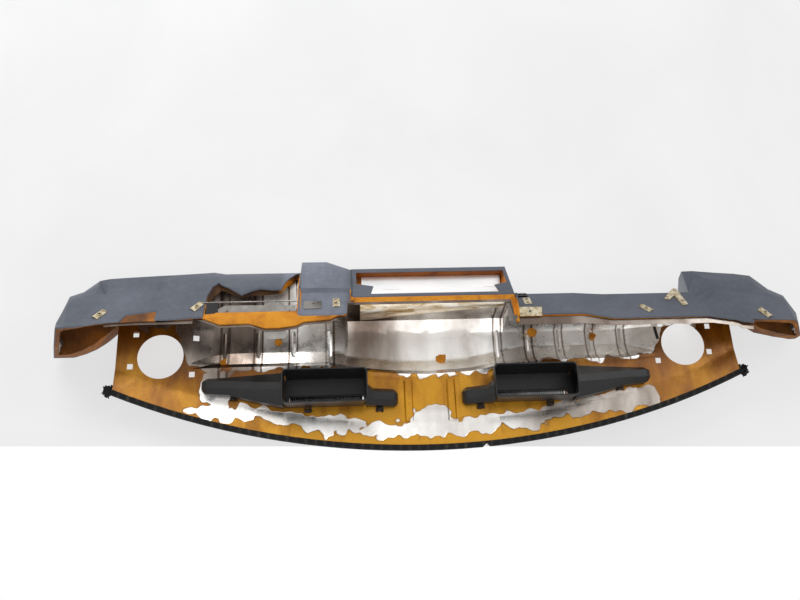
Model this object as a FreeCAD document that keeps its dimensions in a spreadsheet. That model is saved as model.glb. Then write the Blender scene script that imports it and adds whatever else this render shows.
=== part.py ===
import FreeCAD, Part
import math
import os
import Sketcher
from FreeCAD import Vector

# A car dashboard shell: vinyl skin, foam and pressed aluminium carrier, with its ducts and brackets.
# Frame: +X to the car's right, +Y forward to the windscreen, +Z up, and z = 0 on the duct plateau's underside.

doc = FreeCAD.newDocument("dashboard_shell")
sheet = doc.addObject("Spreadsheet::Sheet", "Sizes")

SIZES = [
    ("edge_radius", 1580, "plan radius of the windscreen edge"),
    ("edge_front", 87, "y of the windscreen edge on the centreline"),
    ("pan_left", -616, "left end of the aluminium carrier"),
    ("pan_right", 636, "right end of the aluminium carrier"),
    ("left_end", -737, "x of the left end at z = 0"),
    ("right_end", 785, "x of the right end at z = 0"),
    ("left_lean", -0.34, "sideways lean of the left end per millimetre of height"),
    ("right_lean", 0.60, "sideways lean of the right end per millimetre of height"),
    ("end_bolt", 8, "bolt hole in an end bracket"),
    ("bolt_boss", 13, "round boss of an end bracket"),
    ("bracket_seat", 0.5, "gap between an end bracket and the foam behind it"),
    ("skin_thick", 2, "vinyl skin"),
    ("metal_thick", 1.3, "aluminium sheet"),
    ("foam_wall", 10, "foam on the side walls"),
    ("band_low", -100, "z of the fascia's lower edge"),
    ("flange_level", -93, "z of the lower flange's upper face"),
    ("pan_depth", 20, "height of the concave pan above the plateau"),
    ("windscreen_band", 50, "width of the windscreen flange"),
    ("speaker_x", 530, "speaker hole from the centreline"),
    ("speaker_y", -110, "speaker hole along the car"),
    ("speaker_bore", 90, "speaker hole diameter"),
    ("grille_long", 152, "length of the speaker grille's opening in the pad"),
    ("grille_wide", 122, "width of the speaker grille's opening in the pad"),
    ("grille_clip", 11, "square hole of a grille clip"),
    ("rib_radius", 5, "pressed cross rib"),
    ("rib_length", 78, "pressed cross rib"),
    ("duct_wall", 2.5, "duct wall"),
    ("duct_mouth_low", -55, "z of the duct mouth's rim"),
    ("mouth_inner", 123, "duct mouth's inner end from the centreline"),
    ("mouth_outer", 288, "duct mouth's outer end from the centreline"),
    ("slot_front", -6, "front of the demister slot"),
    ("slot_back", -22, "back of the demister slot"),
    ("slot_inner", 130, "demister slot's inner end"),
    ("slot_outer", 276, "demister slot's outer end"),
    ("vane_pitch", 12, "pitch of the demister vanes"),
    ("vane_thick", 2, "demister vane"),
    ("vane_height", 14, "height of the vane strip"),
    ("nut_length", 26, "spring nut length"),
    ("nut_width", 14, "spring nut width"),
    ("nut_thick", 1.2, "spring nut sheet"),
    ("nut_bore", 5, "spring nut hole"),
    ("frame_left", -140, "left side of the centre opening"),
    ("frame_right", 165, "right side of the centre opening"),
    ("frame_back", -274, "rear side of the centre opening"),
    ("frame_front", -207, "front side of the centre opening"),
    ("frame_level", 6, "z of the centre opening's floor"),
]
for row, (alias, value, note) in enumerate(SIZES, start=1):
    sheet.set("A%d" % row, note)
    sheet.set("B%d" % row, str(value))
    sheet.setAlias("B%d" % row, alias)
doc.recompute()


def size(alias):
    return float(sheet.get(alias))


PAN_LEFT_X = size("pan_left")
PAN_RIGHT_X = size("pan_right")
LOW = size("band_low")
FLANGE = size("flange_level")
METAL = size("metal_thick")
SKIN = size("skin_thick")


# Plan lines

def edge_y(x):
    radius = size("edge_radius")
    reach = min(abs(x), PAN_RIGHT_X + 30)
    return size("edge_front") - radius + math.sqrt(radius * radius - reach * reach)


def bead_y(x):
    bead = -56 - 24 * min(abs(x) / 200.0, 1.0) ** 2
    return min(bead, edge_y(x) - size("windscreen_band") - 10)


def recess(x):
    """1 over the concave pan, 0 on the flat speaker decks, smooth between."""
    share = min(max((470 - abs(x)) / 60.0, 0.0), 1.0)
    return share * share * (3 - 2 * share)


# Outer sections, as (y, z) points from the pad's top round the nose to the fascia's lower edge

def wrap(section, forward):
    """The section moved forward, but for its first point on the pad's top."""
    return section[:1] + [(y + forward, z) for y, z in section[1:]]


LEFT_PANEL = [(-150, 36), (-236, 35), (-264, 28), (-280, 16), (-288, 2), (-282, -12), (-262, -34),
              (-240, -48), (-232, -52), (-220, -60), (-158, LOW)]
LEFT_NICHE = [(-150, 36), (-236, 35), (-264, 28), (-280, 16), (-288, 2), (-270, -8), (-247, -20),
              (-238, -42), (-234, -52), (-220, -60), (-158, LOW)]
LEFT_CORNER = [(-150, 33), (-210, 32), (-234, 25), (-245, 13), (-249, 0), (-243, -18), (-233, -36),
               (-222, -48), (-216, -54), (-205, -61), (-145, LOW)]
LEFT_SHOULDER = [(-145, 30), (-196, 28), (-220, 22), (-233, 10), (-238, -3), (-233, -20), (-224, -36),
                 (-213, -50), (-207, -56), (-199, -63), (-144, LOW)]
LEFT_END = [(-140, 20), (-150, 18), (-161, 12), (-170, 4), (-175, -6), (-174, -20), (-171, -38),
            (-168, -52), (-165, -58), (-162, -64), (-142, LOW)]
CLUSTER = [(-150, 36), (-235, 35), (-260, 28), (-276, 16), (-284, 2), (-276, -12), (-258, -34),
           (-241, -50), (-233, -58), (-229, -61), (-160, LOW)]
HUMP = [(-150, 37), (-243, 37), (-275, 28), (-294, 13), (-302, -3), (-298, -20), (-281, -40),
        (-255, -56), (-224, -65), (-215, -62), (-158, LOW)]
HUMP_FALL = [(-150, 37), (-238, 37), (-266, 28), (-282, 13), (-289, -3), (-286, -20), (-272, -38),
             (-248, -54), (-224, -63), (-215, -62), (-158, LOW)]
HUMP_END = [(-150, 37), (-236, 37), (-261, 28), (-276, 13), (-283, -3), (-280, -20), (-266, -38),
            (-244, -54), (-222, -63), (-214, -63), (-162, LOW)]
CENTRE = [(-150, 37), (-245, 36), (-268, 28), (-284, 14), (-290, 2), (-286, -8), (-240, -45),
          (-208, -71), (-203, -75), (-199, -79), (-193, LOW)]
SHELF = [(-135, 34), (-166, 22), (-190, 2), (-206, -16), (-213, -34), (-211, -43), (-196, -56.79),
         (-184, -67.823), (-174, -77.016), (-168, -82.532), (-149, LOW)]
SHELF_FAR = [(-135, 34), (-166, 22), (-188, 2), (-202, -16), (-209, -34), (-207, -43), (-190, -57.043),
             (-177, -67.783), (-166, -76.87), (-159, -82.652), (-138, LOW)]
RIGHT_HUMP = [(-140, 35), (-215, 34), (-242, 28), (-262, 15), (-270, -1), (-264, -18), (-240, -36),
              (-214, -45), (-205, -50), (-209, -56), (-131, LOW)]
RIGHT_SLOPE = [(-140, 32), (-203, 31), (-230, 25), (-250, 12), (-257, -3), (-250, -20), (-226, -37),
               (-200, -46), (-190, -51), (-194, -57), (-120, LOW)]
RIGHT_SHELF = [(-135, 28), (-178, 26), (-204, 20), (-218, 8), (-224, -5), (-219, -20), (-207, -36),
               (-194, -47), (-184, -51), (-188, -57), (-116, LOW)]
RIGHT_SHOULDER = [(-130, 24), (-165, 22), (-190, 16), (-203, 6), (-209, -5), (-204, -20), (-194, -36),
                  (-184, -47), (-176, -51), (-180, -57), (-114, LOW)]
RIGHT_END = [(-125, 20), (-135, 18), (-149, 12), (-160, 4), (-165, -6), (-164, -20), (-160, -36),
             (-154, -47), (-148, -51), (-150, -57), (-112, LOW)]

# Inner sections of the carrier, as (y, z) points behind the pan and along the fascia, then the flange's edge
PAN_LEFT = [(-240, -2), (-212, -42), (-152, FLANGE), (-146, FLANGE)]
PAN_LEFT_CORNER = [(-218, -4), (-194, -42), (-142, FLANGE), (-136, FLANGE)]
PAN_LEFT_SHOULDER = [(-205, -6), (-186, -42), (-139, FLANGE), (-133, FLANGE)]
PAN_LEFT_END = [(-155, -10), (-150, -44), (-136, FLANGE), (-130, FLANGE)]
PAN_CLUSTER = [(-266, -2), (-229, -40), (-165, FLANGE), (-124, FLANGE)]
PAN_HUMP = [(-265, -4), (-228, -42), (-150, FLANGE), (-132, FLANGE)]
PAN_CENTRE = [(-176, 4), (-182.57, -42), (-188, -80), (-180, -84)]
PAN_SHELF = [(-176, -10), (-186, -42), (-144, FLANGE), (-129, FLANGE)]
PAN_SHELF_FAR = [(-174, -10), (-182, -42), (-134, FLANGE), (-124, FLANGE)]
PAN_RIGHT = [(-240, -6), (-202, -42), (-122, FLANGE), (-116, FLANGE)]
PAN_RIGHT_SLOPE = [(-228, -6), (-190, -42), (-114, FLANGE), (-108, FLANGE)]
PAN_RIGHT_SHELF = [(-192, -8), (-172, -42), (-110, FLANGE), (-104, FLANGE)]
PAN_RIGHT_SHOULDER = [(-180, -8), (-160, -42), (-108, FLANGE), (-102, FLANGE)]
PAN_RIGHT_END = [(-147, -10), (-138, -42), (-104, FLANGE), (-98, FLANGE)]

# Stations: x, outer section, carrier section, and the side on which a step's wall lies
HUMP_START = 552
STATIONS = [
    (size("left_end"), LEFT_END, PAN_LEFT_END, 1),
    (-716, LEFT_SHOULDER, PAN_LEFT_SHOULDER, 0),
    (-688, LEFT_CORNER, PAN_LEFT_CORNER, 0),
    (-658, wrap(LEFT_PANEL, 13), wrap(PAN_LEFT, 6), 0),
    (-642, wrap(LEFT_NICHE, 10), wrap(PAN_LEFT, 4), 0),
    (-608, wrap(LEFT_NICHE, 8), wrap(PAN_LEFT, 2), 0),
    (-540, wrap(LEFT_NICHE, 5), PAN_LEFT, 0),
    (-512, wrap(LEFT_PANEL, 4), PAN_LEFT, 0),
    (-470, wrap(LEFT_PANEL, 2), PAN_LEFT, 0),
    (-430, LEFT_PANEL, PAN_LEFT, 0),
    (-408, CLUSTER, PAN_CLUSTER, 0),
    (-330, CLUSTER, PAN_CLUSTER, 0),
    (-253, CLUSTER, PAN_CLUSTER, 1),
    (-250, HUMP, PAN_HUMP, 1),
    (-200, HUMP, PAN_HUMP, 0),
    (-168, HUMP_FALL, PAN_HUMP, 0),
    (-152, HUMP_END, PAN_HUMP, -1),
    (-148, CENTRE, PAN_CENTRE, -1),
    (-74, CENTRE, PAN_CENTRE, 0),
    (0, CENTRE, PAN_CENTRE, 0),
    (85, CENTRE, PAN_CENTRE, 0),
    (172, CENTRE, PAN_CENTRE, -1),
    (178, SHELF, PAN_SHELF, -1),
    (240, SHELF, PAN_SHELF, 0),
    (300, SHELF, PAN_SHELF, 0),
    (360, SHELF_FAR, PAN_SHELF_FAR, 0),
    (408, SHELF_FAR, PAN_SHELF_FAR, 0),
    (470, SHELF_FAR, PAN_SHELF_FAR, 0),
    (546, SHELF_FAR, PAN_SHELF_FAR, 1),
    (HUMP_START, RIGHT_HUMP, PAN_RIGHT, 1),
    (620, wrap(RIGHT_HUMP, 5), wrap(PAN_RIGHT, 5), 0),
    (660, wrap(RIGHT_HUMP, 8), wrap(PAN_RIGHT, 8), 0),
    (696, RIGHT_SLOPE, PAN_RIGHT_SLOPE, 0),
    (732, RIGHT_SHELF, PAN_RIGHT_SHELF, 0),
    (764, RIGHT_SHOULDER, PAN_RIGHT_SHOULDER, 0),
    (size("right_end"), RIGHT_END, PAN_RIGHT_END, -1),
]


# Section helpers

def offset(points, distance):
    """Mitred offset of an open (y, z) line, to its left for a positive distance."""
    normals = []
    for (ya, za), (yb, zb) in zip(points, points[1:]):
        length = math.hypot(yb - ya, zb - za)
        normals.append((-(zb - za) / length, (yb - ya) / length))
    moved = []
    for i, (y, z) in enumerate(points):
        first = normals[max(i - 1, 0)]
        second = normals[min(i, len(normals) - 1)]
        share = distance / (1 + first[0] * second[0] + first[1] * second[1])
        moved.append((y + (first[0] + second[0]) * share, z + (first[1] + second[1]) * share))
    return moved


def run_on(points, amount, z_end):
    """Lengthens the line past the windscreen edge and down to the given level."""
    (y0, z0), (y1, z1) = points[0], points[1]
    slope = (z1 - z0) / (y1 - y0)
    front = (y0 + amount, z0 + slope * amount)
    (ya, za), (yb, zb) = points[-2], points[-1]
    share = (z_end - zb) / (zb - za)
    low = (yb + (yb - ya) * share, z_end)
    return [front] + points[1:-1] + [low]


def outer_line(x, section):
    edge = edge_y(x)
    return [(edge + 8, -6.2), (edge - 24, 5), (edge - 52, 13),
            (-95 - 0.173 * (size("edge_front") - edge), 26)] + section


def carrier_line(x, section):
    edge = edge_y(x)
    bead = bead_y(x)
    depth = recess(x)
    top = size("pan_depth")
    flange_slope = 9.0 / size("windscreen_band")
    bend = edge - size("windscreen_band")
    back = section[0][0] + 4
    rear = min(-165, back + 70) if back < -200 else -150
    return [(edge + 12, -flange_slope * (size("windscreen_band") + 12)), (bend, 0), (bead + 5, 0),
            (bead - 3, -4 * depth), (bead - 14, 12 * depth), (bead - 17 - 21 * depth, top * depth),
            (rear, (top - 2) * depth)] + section


def lean(x, z):
    """Sideways lean of the end sections, which fades out towards the carrier, and of the hump's start."""
    if x == HUMP_START:
        return -0.9 * min(max(z, -50), 0)
    if x < 0:
        return size("left_lean") * z * max((x + 600) / (size("left_end") + 600), 0.0)
    return size("right_lean") * z * max((x - 600) / (size("right_end") - 600), 0.0)


def ring(x, shift, points):
    return [Vector(x + shift + lean(x, z), y, z) for y, z in points]


def outer_ring(station, depth, level):
    x, section, _, side = station
    line = outer_line(x, section)
    if depth:
        line = run_on(offset(line, depth), 2, level)
    return ring(x, side * depth, line + [(line[0][0], level)])


def carrier_ring(station, depth, level, step):
    x, _, section, side = station
    line = carrier_line(x, section)
    front_cut = 5 if depth else 0
    if depth:
        line = offset(line, -depth)
    line = line[:-1] + [(section[-1][0] - front_cut, line[-1][1])]
    drop = (line[-1][0], level)
    return ring(x, side * step, line + [drop, (line[0][0] + (0 if depth else 3), level)])


def patch(corners):
    """One flat face through four corners, or two triangles where they twist."""
    first, second, third, fourth = corners
    normal = (second - first).cross(third - first)
    if normal.Length < 1e-6:
        normal = (third - first).cross(fourth - first)
    if normal.Length > 1e-6 and abs((fourth - first).dot(normal.normalize())) < 1e-9:
        loops = [corners]
    else:
        loops = [(first, second, third), (first, third, fourth)]
    return [Part.Face(Part.makePolygon(list(loop) + [loop[0]])) for loop in loops]


def loft(rings):
    """Faceted loft through rings of matching points, closed at both ends."""
    faces = []
    for ring_a, ring_b in zip(rings, rings[1:]):
        for i in range(len(ring_a)):
            j = (i + 1) % len(ring_a)
            faces += patch((ring_a[i], ring_a[j], ring_b[j], ring_b[i]))
    for end in (rings[0], rings[-1]):
        faces.append(Part.Face(Part.makePolygon(end + [end[0]])))
    shell = Part.makeShell(faces)
    shell.sewShape()
    solid = Part.makeSolid(shell)
    if solid.Volume < 0:
        solid.reverse()
    return solid


def box(x0, x1, y0, y1, z0, z1):
    return Part.makeBox(x1 - x0, y1 - y0, z1 - z0, Vector(x0, y0, z0))


def longest(shape):
    """The largest solid that a cut leaves."""
    return max(shape.Solids, key=lambda solid: solid.Volume)


def feature(name, shape):
    """A solid whose moulded or pressed form no single primitive gives."""
    item = doc.addObject("Part::Feature", name)
    item.Shape = shape
    item.Placement = FreeCAD.Placement()
    return item


# Moulded shells: each layer is the space between two nested lofts, trimmed to the windscreen arc

outer = loft([outer_ring(s, 0, LOW) for s in STATIONS])
under_skin = loft([outer_ring(s, SKIN, LOW - 2) for s in STATIONS])
over_metal = loft([carrier_ring(s, METAL, LOW - 4, size("foam_wall")) for s in STATIONS])
cavity = loft([carrier_ring(s, 0, LOW - 6, size("foam_wall") + METAL) for s in STATIONS])

radius = size("edge_radius")
arc = Part.makeCylinder(radius, 400, Vector(0, size("edge_front") - radius, -250))
below_edge = box(-900, 900, -400, 200, -200, LOW)
far_front = 300


def wing_cut(pan_x, plan, tip_x):
    """Space in front of an end wing, over a bent plan line from the carrier's end to the tip."""
    line = [(pan_x, far_front), (pan_x, plan[0][1])] + plan + [(tip_x, plan[-1][1]), (tip_x, far_front)]
    face = Part.Face(Part.makePolygon([Vector(x, y, -60) for x, y in line + line[:1]]))
    return face.extrude(Vector(0, 0, 200))


def wing_front(x, length, y):
    """Space in front of an end wall, whose front edge leans back towards its foot."""
    section = [(y, 60), (y, -10), (y - 34, -110), (far_front, -110), (far_front, 60)]
    face = Part.Face(Part.makePolygon([Vector(x, a, b) for a, b in section + section[:1]]))
    return face.extrude(Vector(length, 0, 0))


LEFT_WING = [(-622, -174), (-640, -157), (-665, -137), (-684, -127), (-707, -119)]
RIGHT_WING = [(642, -186), (668, -165), (703, -140), (738, -129), (772, -122)]
wings = [wing_cut(PAN_LEFT_X - 0.5, LEFT_WING, -900), wing_cut(PAN_RIGHT_X + 0.5, RIGHT_WING, 900),
         wing_front(-900, 900 + PAN_LEFT_X - 0.5, -104), wing_front(PAN_RIGHT_X + 0.5, 900 - PAN_RIGHT_X, -100)]
inside_pan = box(PAN_LEFT_X, PAN_RIGHT_X, -400, 300, -200, 200)

skin_shape = outer.cut([under_skin, over_metal]).common(arc).cut(wings)
foam_shape = under_skin.cut(over_metal).common(arc).cut([below_edge] + wings)

def side_prism(outline, y0, y1):
    """Prism along Y over an (x, z) outline."""
    face = Part.Face(Part.makePolygon([Vector(x, y0, z) for x, z in outline + outline[:1]]))
    return face.extrude(Vector(0, y1 - y0, 0))


# Cross ribs pressed into the concave pan stand into the cavity
RIBS = [-407, -340, -270, -196, 148, 212, 276, 341, 407]
RIB_BACK = -160
ribs = []
for x in RIBS:
    foot = size("rib_radius")
    ceiling = size("pan_depth")
    half_round = [(x - foot, ceiling + 2), (x - foot, ceiling - 0.5), (x - 0.7 * foot, ceiling - 0.7 * foot),
                  (x, ceiling - foot), (x + 0.7 * foot, ceiling - 0.7 * foot), (x + foot, ceiling - 0.5),
                  (x + foot, ceiling + 2)]
    ribs.append(side_prism(half_round, RIB_BACK, RIB_BACK + size("rib_length")))
ribbed_cavity = cavity.cut(ribs)
pan_shape = over_metal.cut(ribbed_cavity).common(arc).common(inside_pan)


# Two flat bars are pressed into the plateau at the centre
bars = []
for x in (-42, 43):
    bars.append(side_prism([(x - 9, 0), (x - 6, -3), (x + 6, -3), (x + 9, 0)], -48, 34))
pan_shape = pan_shape.fuse(bars).removeSplitter()

skin_shell = feature("SkinShell", skin_shape)
foam_shell = feature("FoamShell", foam_shape)
pan_shell = feature("PanShell", pan_shape)


# Openings cut from the shells

def cutter_box(name, x, y, z, dx, dy, dz):
    """Box cutter whose place and sizes are expressions over the sheet."""
    item = doc.addObject("Part::Box", name)
    for prop, value in (("Length", dx), ("Width", dy), ("Height", dz)):
        item.setExpression(prop, str(value))
    for axis, value in (("x", x), ("y", y), ("z", z)):
        item.setExpression(".Placement.Base." + axis, str(value))
    return item


def cutter_bore(name, x, y, z, bore, height):
    item = doc.addObject("Part::Cylinder", name)
    item.setExpression("Radius", "%s / 2" % bore)
    item.setExpression("Height", str(height))
    for axis, value in (("x", x), ("y", y), ("z", z)):
        item.setExpression(".Placement.Base." + axis, str(value))
    return item


def fused(name, items):
    item = doc.addObject("Part::MultiFuse", name)
    item.Shapes = items
    return item


def cut(label, base, tool):
    item = doc.addObject("Part::Cut", label)
    item.Base = base
    item.Tool = tool
    return item


GRILLE_CLIPS = {"left": [(-58, 19), (63, 38), (-50, -47), (68, -37)],
                "right": [(53, 18), (-57, 34), (58, -37), (-42, -44)]}
through = []
grilles = []
for side, sign in (("left", -1), ("right", 1)):
    through.append(cutter_bore("Speaker_" + side, "Sizes.speaker_x * %d" % sign, "Sizes.speaker_y", -30,
                               "Sizes.speaker_bore", 100))
    for i, (dx, dy) in enumerate(GRILLE_CLIPS[side]):
        through.append(cutter_box("Clip_%s_%d" % (side, i),
                                  "Sizes.speaker_x * %d + %d - Sizes.grille_clip / 2" % (sign, dx),
                                  "Sizes.speaker_y + %d - Sizes.grille_clip / 2" % dy, -30,
                                  "Sizes.grille_clip", "Sizes.grille_clip", 100))
    inner = "Sizes.slot_inner" if sign > 0 else "-Sizes.slot_outer"
    through.append(cutter_box("Slot_" + side, inner, "Sizes.slot_back", -10,
                              "Sizes.slot_outer - Sizes.slot_inner", "Sizes.slot_front - Sizes.slot_back", 60))
    # The pad is open over the whole grille; only the carrier spans it
    grilles.append(cutter_box("Grille_" + side, "Sizes.speaker_x * %d - Sizes.grille_long / 2 + 3" % sign,
                              "Sizes.speaker_y - Sizes.grille_wide / 2", "Sizes.metal_thick",
                              "Sizes.grille_long", "Sizes.grille_wide", 100))
through_tool = fused("ThroughHoles", through)


# The skin is torn along the brow of the cluster opening, and the foam behind it is broken further back
TORN_SKIN = [(-432, -102), (-432, -64), (-424, -50), (-414, -44), (-400, -54), (-384, -62), (-364, -70),
             (-346, -64), (-330, -61), (-304, -63), (-287, -63), (-282, -46), (-262, -12), (-254, -2),
             (-254, -102)]
TORN_FOAM = [(-430, -94), (-430, -58), (-420, -44), (-408, -38), (-384, -50), (-364, -58), (-346, -54),
             (-304, -52), (-290, -50), (-282, -36), (-264, -2), (-256, -2), (-256, -94)]
CLUSTER_METAL = [(-428, FLANGE), (-428, -56), (-416, -36), (-360, -42), (-290, -40), (-264, -12), (-258, -40),
                 (-258, FLANGE)]
# The crossmember lies in the opening, in front of its rear lip
CROSS_FRONT = -158
skin_opening = feature("ClusterOpeningSkin", side_prism(TORN_SKIN, -330, CROSS_FRONT + 8))
foam_opening = feature("ClusterOpeningFoam", side_prism(TORN_FOAM, -330, CROSS_FRONT))
pan_opening = feature("ClusterOpeningMetal", side_prism(CLUSTER_METAL, -330, CROSS_FRONT))

centre_opening = cutter_box("CentreOpening", "Sizes.frame_left", "Sizes.frame_back", -110,
                            "Sizes.frame_right - Sizes.frame_left",
                            "Sizes.frame_front - Sizes.frame_back", "Sizes.frame_level + 110")
# Two flaps of torn vinyl are left at the lower corners of the centre opening
FLAPPED = [(-140, -274), (165, -274), (165, -236), (138, -228), (143, -207), (-112, -207), (-106, -230),
           (-140, -238)]


def plan_prism(outline, z0, z1):
    face = Part.Face(Part.makePolygon([Vector(x, y, z0) for x, y in outline + outline[:1]]))
    return face.extrude(Vector(0, 0, z1 - z0))


flapped_opening = feature("CentreOpeningSkin", plan_prism(FLAPPED, -110, size("frame_level")))
centre_low = cutter_box("CentreLowTrim", -147, -260, -130, 318, 120, 45)

# The lower edge is torn away on the left, with the foam bare, and bare metal shows to the right of the centre
left_notch = feature("LeftNotch", side_prism([(-596, -110), (-578, -88), (-522, -84), (-522, -110)], -215, -130))
bare_flange = feature("BareFlange", box(172, 700, -147, -60, -110, -93.9))
bare_left = feature("BareLeft", box(-520, -434, -156, -60, -110, -93.9))

# Front edge of the ledge under the cluster opening, with a rim of bare metal in front of the foam
LEDGE = [(-452, -157), (-401, -136), (-345, -137), (-316, -127), (-290, -127), (-257, -131), (-242, -138),
         (-192, -142), (-150, -163)]
RIM = 5
ahead = [(-150, -60), (-452, -60)]
ledge_metal = feature("LedgeFrontMetal", plan_prism(LEDGE + ahead, -110, -91))
ledge_foam = feature("LedgeFrontFoam", plan_prism([(x, y - RIM) for x, y in LEDGE] + ahead, -110, -91))

END_BOLTS = {"left": (-136, -24), "right": (-133, -26)}


def bolt_bore(name, side, bore):
    """Bore along X through an end wall."""
    item = doc.addObject("Part::Cylinder", name)
    item.setExpression("Radius", bore + " / 2")
    item.Height = 200
    y, z = END_BOLTS[side]
    start = -780 if side == "left" else 620
    item.Placement = FreeCAD.Placement(Vector(start, y, z), FreeCAD.Rotation(Vector(0, 1, 0), 90))
    return item


skin_bolts = [bolt_bore("SkinBolt_" + side, side, "(Sizes.end_bolt + 2)") for side in END_BOLTS]
foam_bolts = [bolt_bore("FoamBolt_" + side, side, "(Sizes.bolt_boss + 4)") for side in END_BOLTS]
skin_tool = fused("SkinOpenings", [through_tool] + grilles + skin_bolts + [skin_opening, flapped_opening,
                                                                         centre_low, left_notch])
foam_tool = fused("FoamOpenings", [through_tool] + grilles + foam_bolts + [foam_opening, centre_opening,
                                                                         centre_low, bare_flange, bare_left,
                                                                         ledge_foam])
flange_low = feature("FlangeTrim", box(-700, 700, -200, -60, -130, FLANGE - METAL))
pan_tool = fused("PanOpenings", [through_tool, pan_opening, centre_low, flange_low, ledge_metal])

dash_skin = cut("dash_skin", skin_shell, skin_tool)
foam_core = cut("foam_core", foam_shell, foam_tool)
pan_cut = cut("PanCut", pan_shell, pan_tool)
doc.recompute()
carrier_pan = feature("carrier_pan", longest(pan_cut.Shape))


# Windscreen seal: a gripping strip swept round the arc, frayed at both ends

SEAT = 0.3


def edge_top(r):
    """Height of the vinyl beside the windscreen edge, at r in front of it."""
    return 5 - 0.35 * (r + 24)


def edge_under(r):
    return -0.18 * (r + size("windscreen_band"))


SEAL = [(-6, edge_top(-6) + SEAT), (SEAT, edge_top(0) + SEAT), (SEAT, edge_under(0) - SEAT),
        (-5, edge_under(-5) - SEAT), (-5, -10.4), (2, -11.2), (5, -9), (6, -5), (4.5, -1.5), (0, -0.4), (-6, 1.4)]
seal_start = math.degrees(math.asin((PAN_LEFT_X - 3) / radius))
seal_sweep = math.degrees(math.asin((PAN_RIGHT_X + 3) / radius)) - seal_start
axis = Vector(0, size("edge_front") - radius, 0)
profile = Part.Face(Part.makePolygon([axis + Vector(0, radius + r, z) for r, z in SEAL + SEAL[:1]]))
profile.rotate(axis, Vector(0, 0, 1), -seal_start)
seal = profile.revolve(axis, Vector(0, 0, 1), -seal_sweep)
FRAYS = [(0, 0, 12, 9, 11, 20), (4, 6, 14, 6, 7, 55), (-3, -9, 10, 8, 9, -15), (5, -4, 12, 5, 6, -40)]
frays = []
for sign, end_x in ((-1, PAN_LEFT_X - 9), (1, PAN_RIGHT_X + 9)):
    end = Vector(end_x, edge_y(end_x) + 1, -5)
    for dx, dy, length, width, height, turn in FRAYS:
        tuft = Part.makeBox(length, width, height, Vector(-length / 2, -width / 2, -height / 2))
        tuft.rotate(Vector(0, 0, 0), Vector(0, 0, 1), turn * sign)
        tuft.translate(end + Vector(sign * dx, dy, 0))
        frays.append(tuft)
nick = Part.makeBox(12, 14, 30, Vector(-6, 0, -20))
nick.rotate(Vector(0, 0, 0), Vector(0, 0, 1), 45)
nick.translate(Vector(110, edge_y(110) + 3, 0))
seal = seal.fuse(frays).cut(nick)
windscreen_seal = feature("windscreen_seal", longest(seal))


# Demister ducts: a mouth box with a tapered arm outward and a short stub inward

def duct_section(x, back, front, height, inset):
    """Six-sided section with a ridge along its underside; the inset gives the inner wall."""
    ridge = (back + front) / 2
    low = -height + inset
    points = [(back + inset, -inset), (back + inset, 0.45 * low), (ridge - 7, low), (ridge + 7, low),
              (front - inset, 0.55 * low), (front - inset, -inset)]
    return [Vector(x, y, z) for y, z in points]


def rim(z, x0, x1, y0, y1, corner):
    """Rectangle at height z with rounded corners."""
    points = []
    for cx, cy, first in ((x1 - corner, y1 - corner, 0), (x0 + corner, y1 - corner, 90),
                          (x0 + corner, y0 + corner, 180), (x1 - corner, y0 + corner, 270)):
        for turn in (0, 30, 60, 90):
            angle = math.radians(first + turn)
            points.append(Vector(cx + corner * math.cos(angle), cy + corner * math.sin(angle), z))
    return points


ARM = [(286, -64, 3, 54), (340, -62, -9, 44), (392, -60, -24, 32), (434, -59, -28, 29),
       (441, -56, -31, 24), (444, -52, -35, 18)]
STUB = [(127, -42, 3, 42), (112, -31, 3, 31), (72, -28, 6, 27), (67, -25, 3, 23), (64, -21, -1, 17)]


def duct(sign):
    inset = size("duct_wall")
    near = size("mouth_inner")
    far = size("mouth_outer")
    low = size("duct_mouth_low")
    outer_box = loft([rim(low, near, far, -64, 3, 9), rim(0, near + 4, far - 3, -57, 1, 7)])
    inner_box = loft([rim(low - 0.5, near + inset, far - inset, -61.5, 0.5, 7),
                      rim(-inset, near + 4 + inset, far - 3 - inset, -54.5, -1.5, 5)])
    outer_parts = []
    inner_parts = []
    for run, overlap in ((ARM, 4), (STUB, -4)):
        outer_parts.append(loft([duct_section(x, b, f, h, 0) for x, b, f, h in run]))
        hollow = [(x, b, f, h) for x, b, f, h in run[:-1]]
        hollow[0] = (hollow[0][0] - overlap,) + hollow[0][1:]
        inner_parts.append(loft([duct_section(x, b, f, h, inset) for x, b, f, h in hollow]))
    slot = box(size("slot_inner"), size("slot_outer"), size("slot_back"), size("slot_front") , -10, 1)
    shape = outer_box.fuse(outer_parts).cut([inner_box, slot] + inner_parts)
    return shape if sign > 0 else shape.mirror(Vector(0, 0, 0), Vector(1, 0, 0))


duct_left = feature("defroster_duct_left", duct(-1))
duct_right = feature("defroster_duct_right", duct(1))


def vane_strip(sign):
    x0 = size("slot_inner")
    x1 = size("slot_outer")
    y0 = size("slot_back")
    y1 = size("slot_front")
    thick = size("vane_thick")
    height = size("vane_height")
    rails = [box(x0, x1, y0, y0 + thick, 0, height), box(x0, x1, y1 - thick, y1, 0, height)]
    count = int((x1 - x0 - thick) / size("vane_pitch"))
    pitch = (x1 - x0 - thick) / count
    vanes = []
    for i in range(-1, count + 1):
        foot = x0 + i * pitch
        vanes.append(side_prism([(foot, 0), (foot + thick, 0), (foot + thick + pitch, height),
                                 (foot + pitch, height)], y0, y1))
    frame = [box(x0, x0 + thick, y0, y1, 0, height), box(x1 - thick, x1, y0, y1, 0, height)]
    grid = vanes[0].fuse(vanes[1:]).common(box(x0, x1, y0, y1, 0, height))
    shape = rails[0].fuse(rails[1:] + frame + [grid]).removeSplitter()
    return shape if sign > 0 else shape.mirror(Vector(0, 0, 0), Vector(1, 0, 0))


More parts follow.
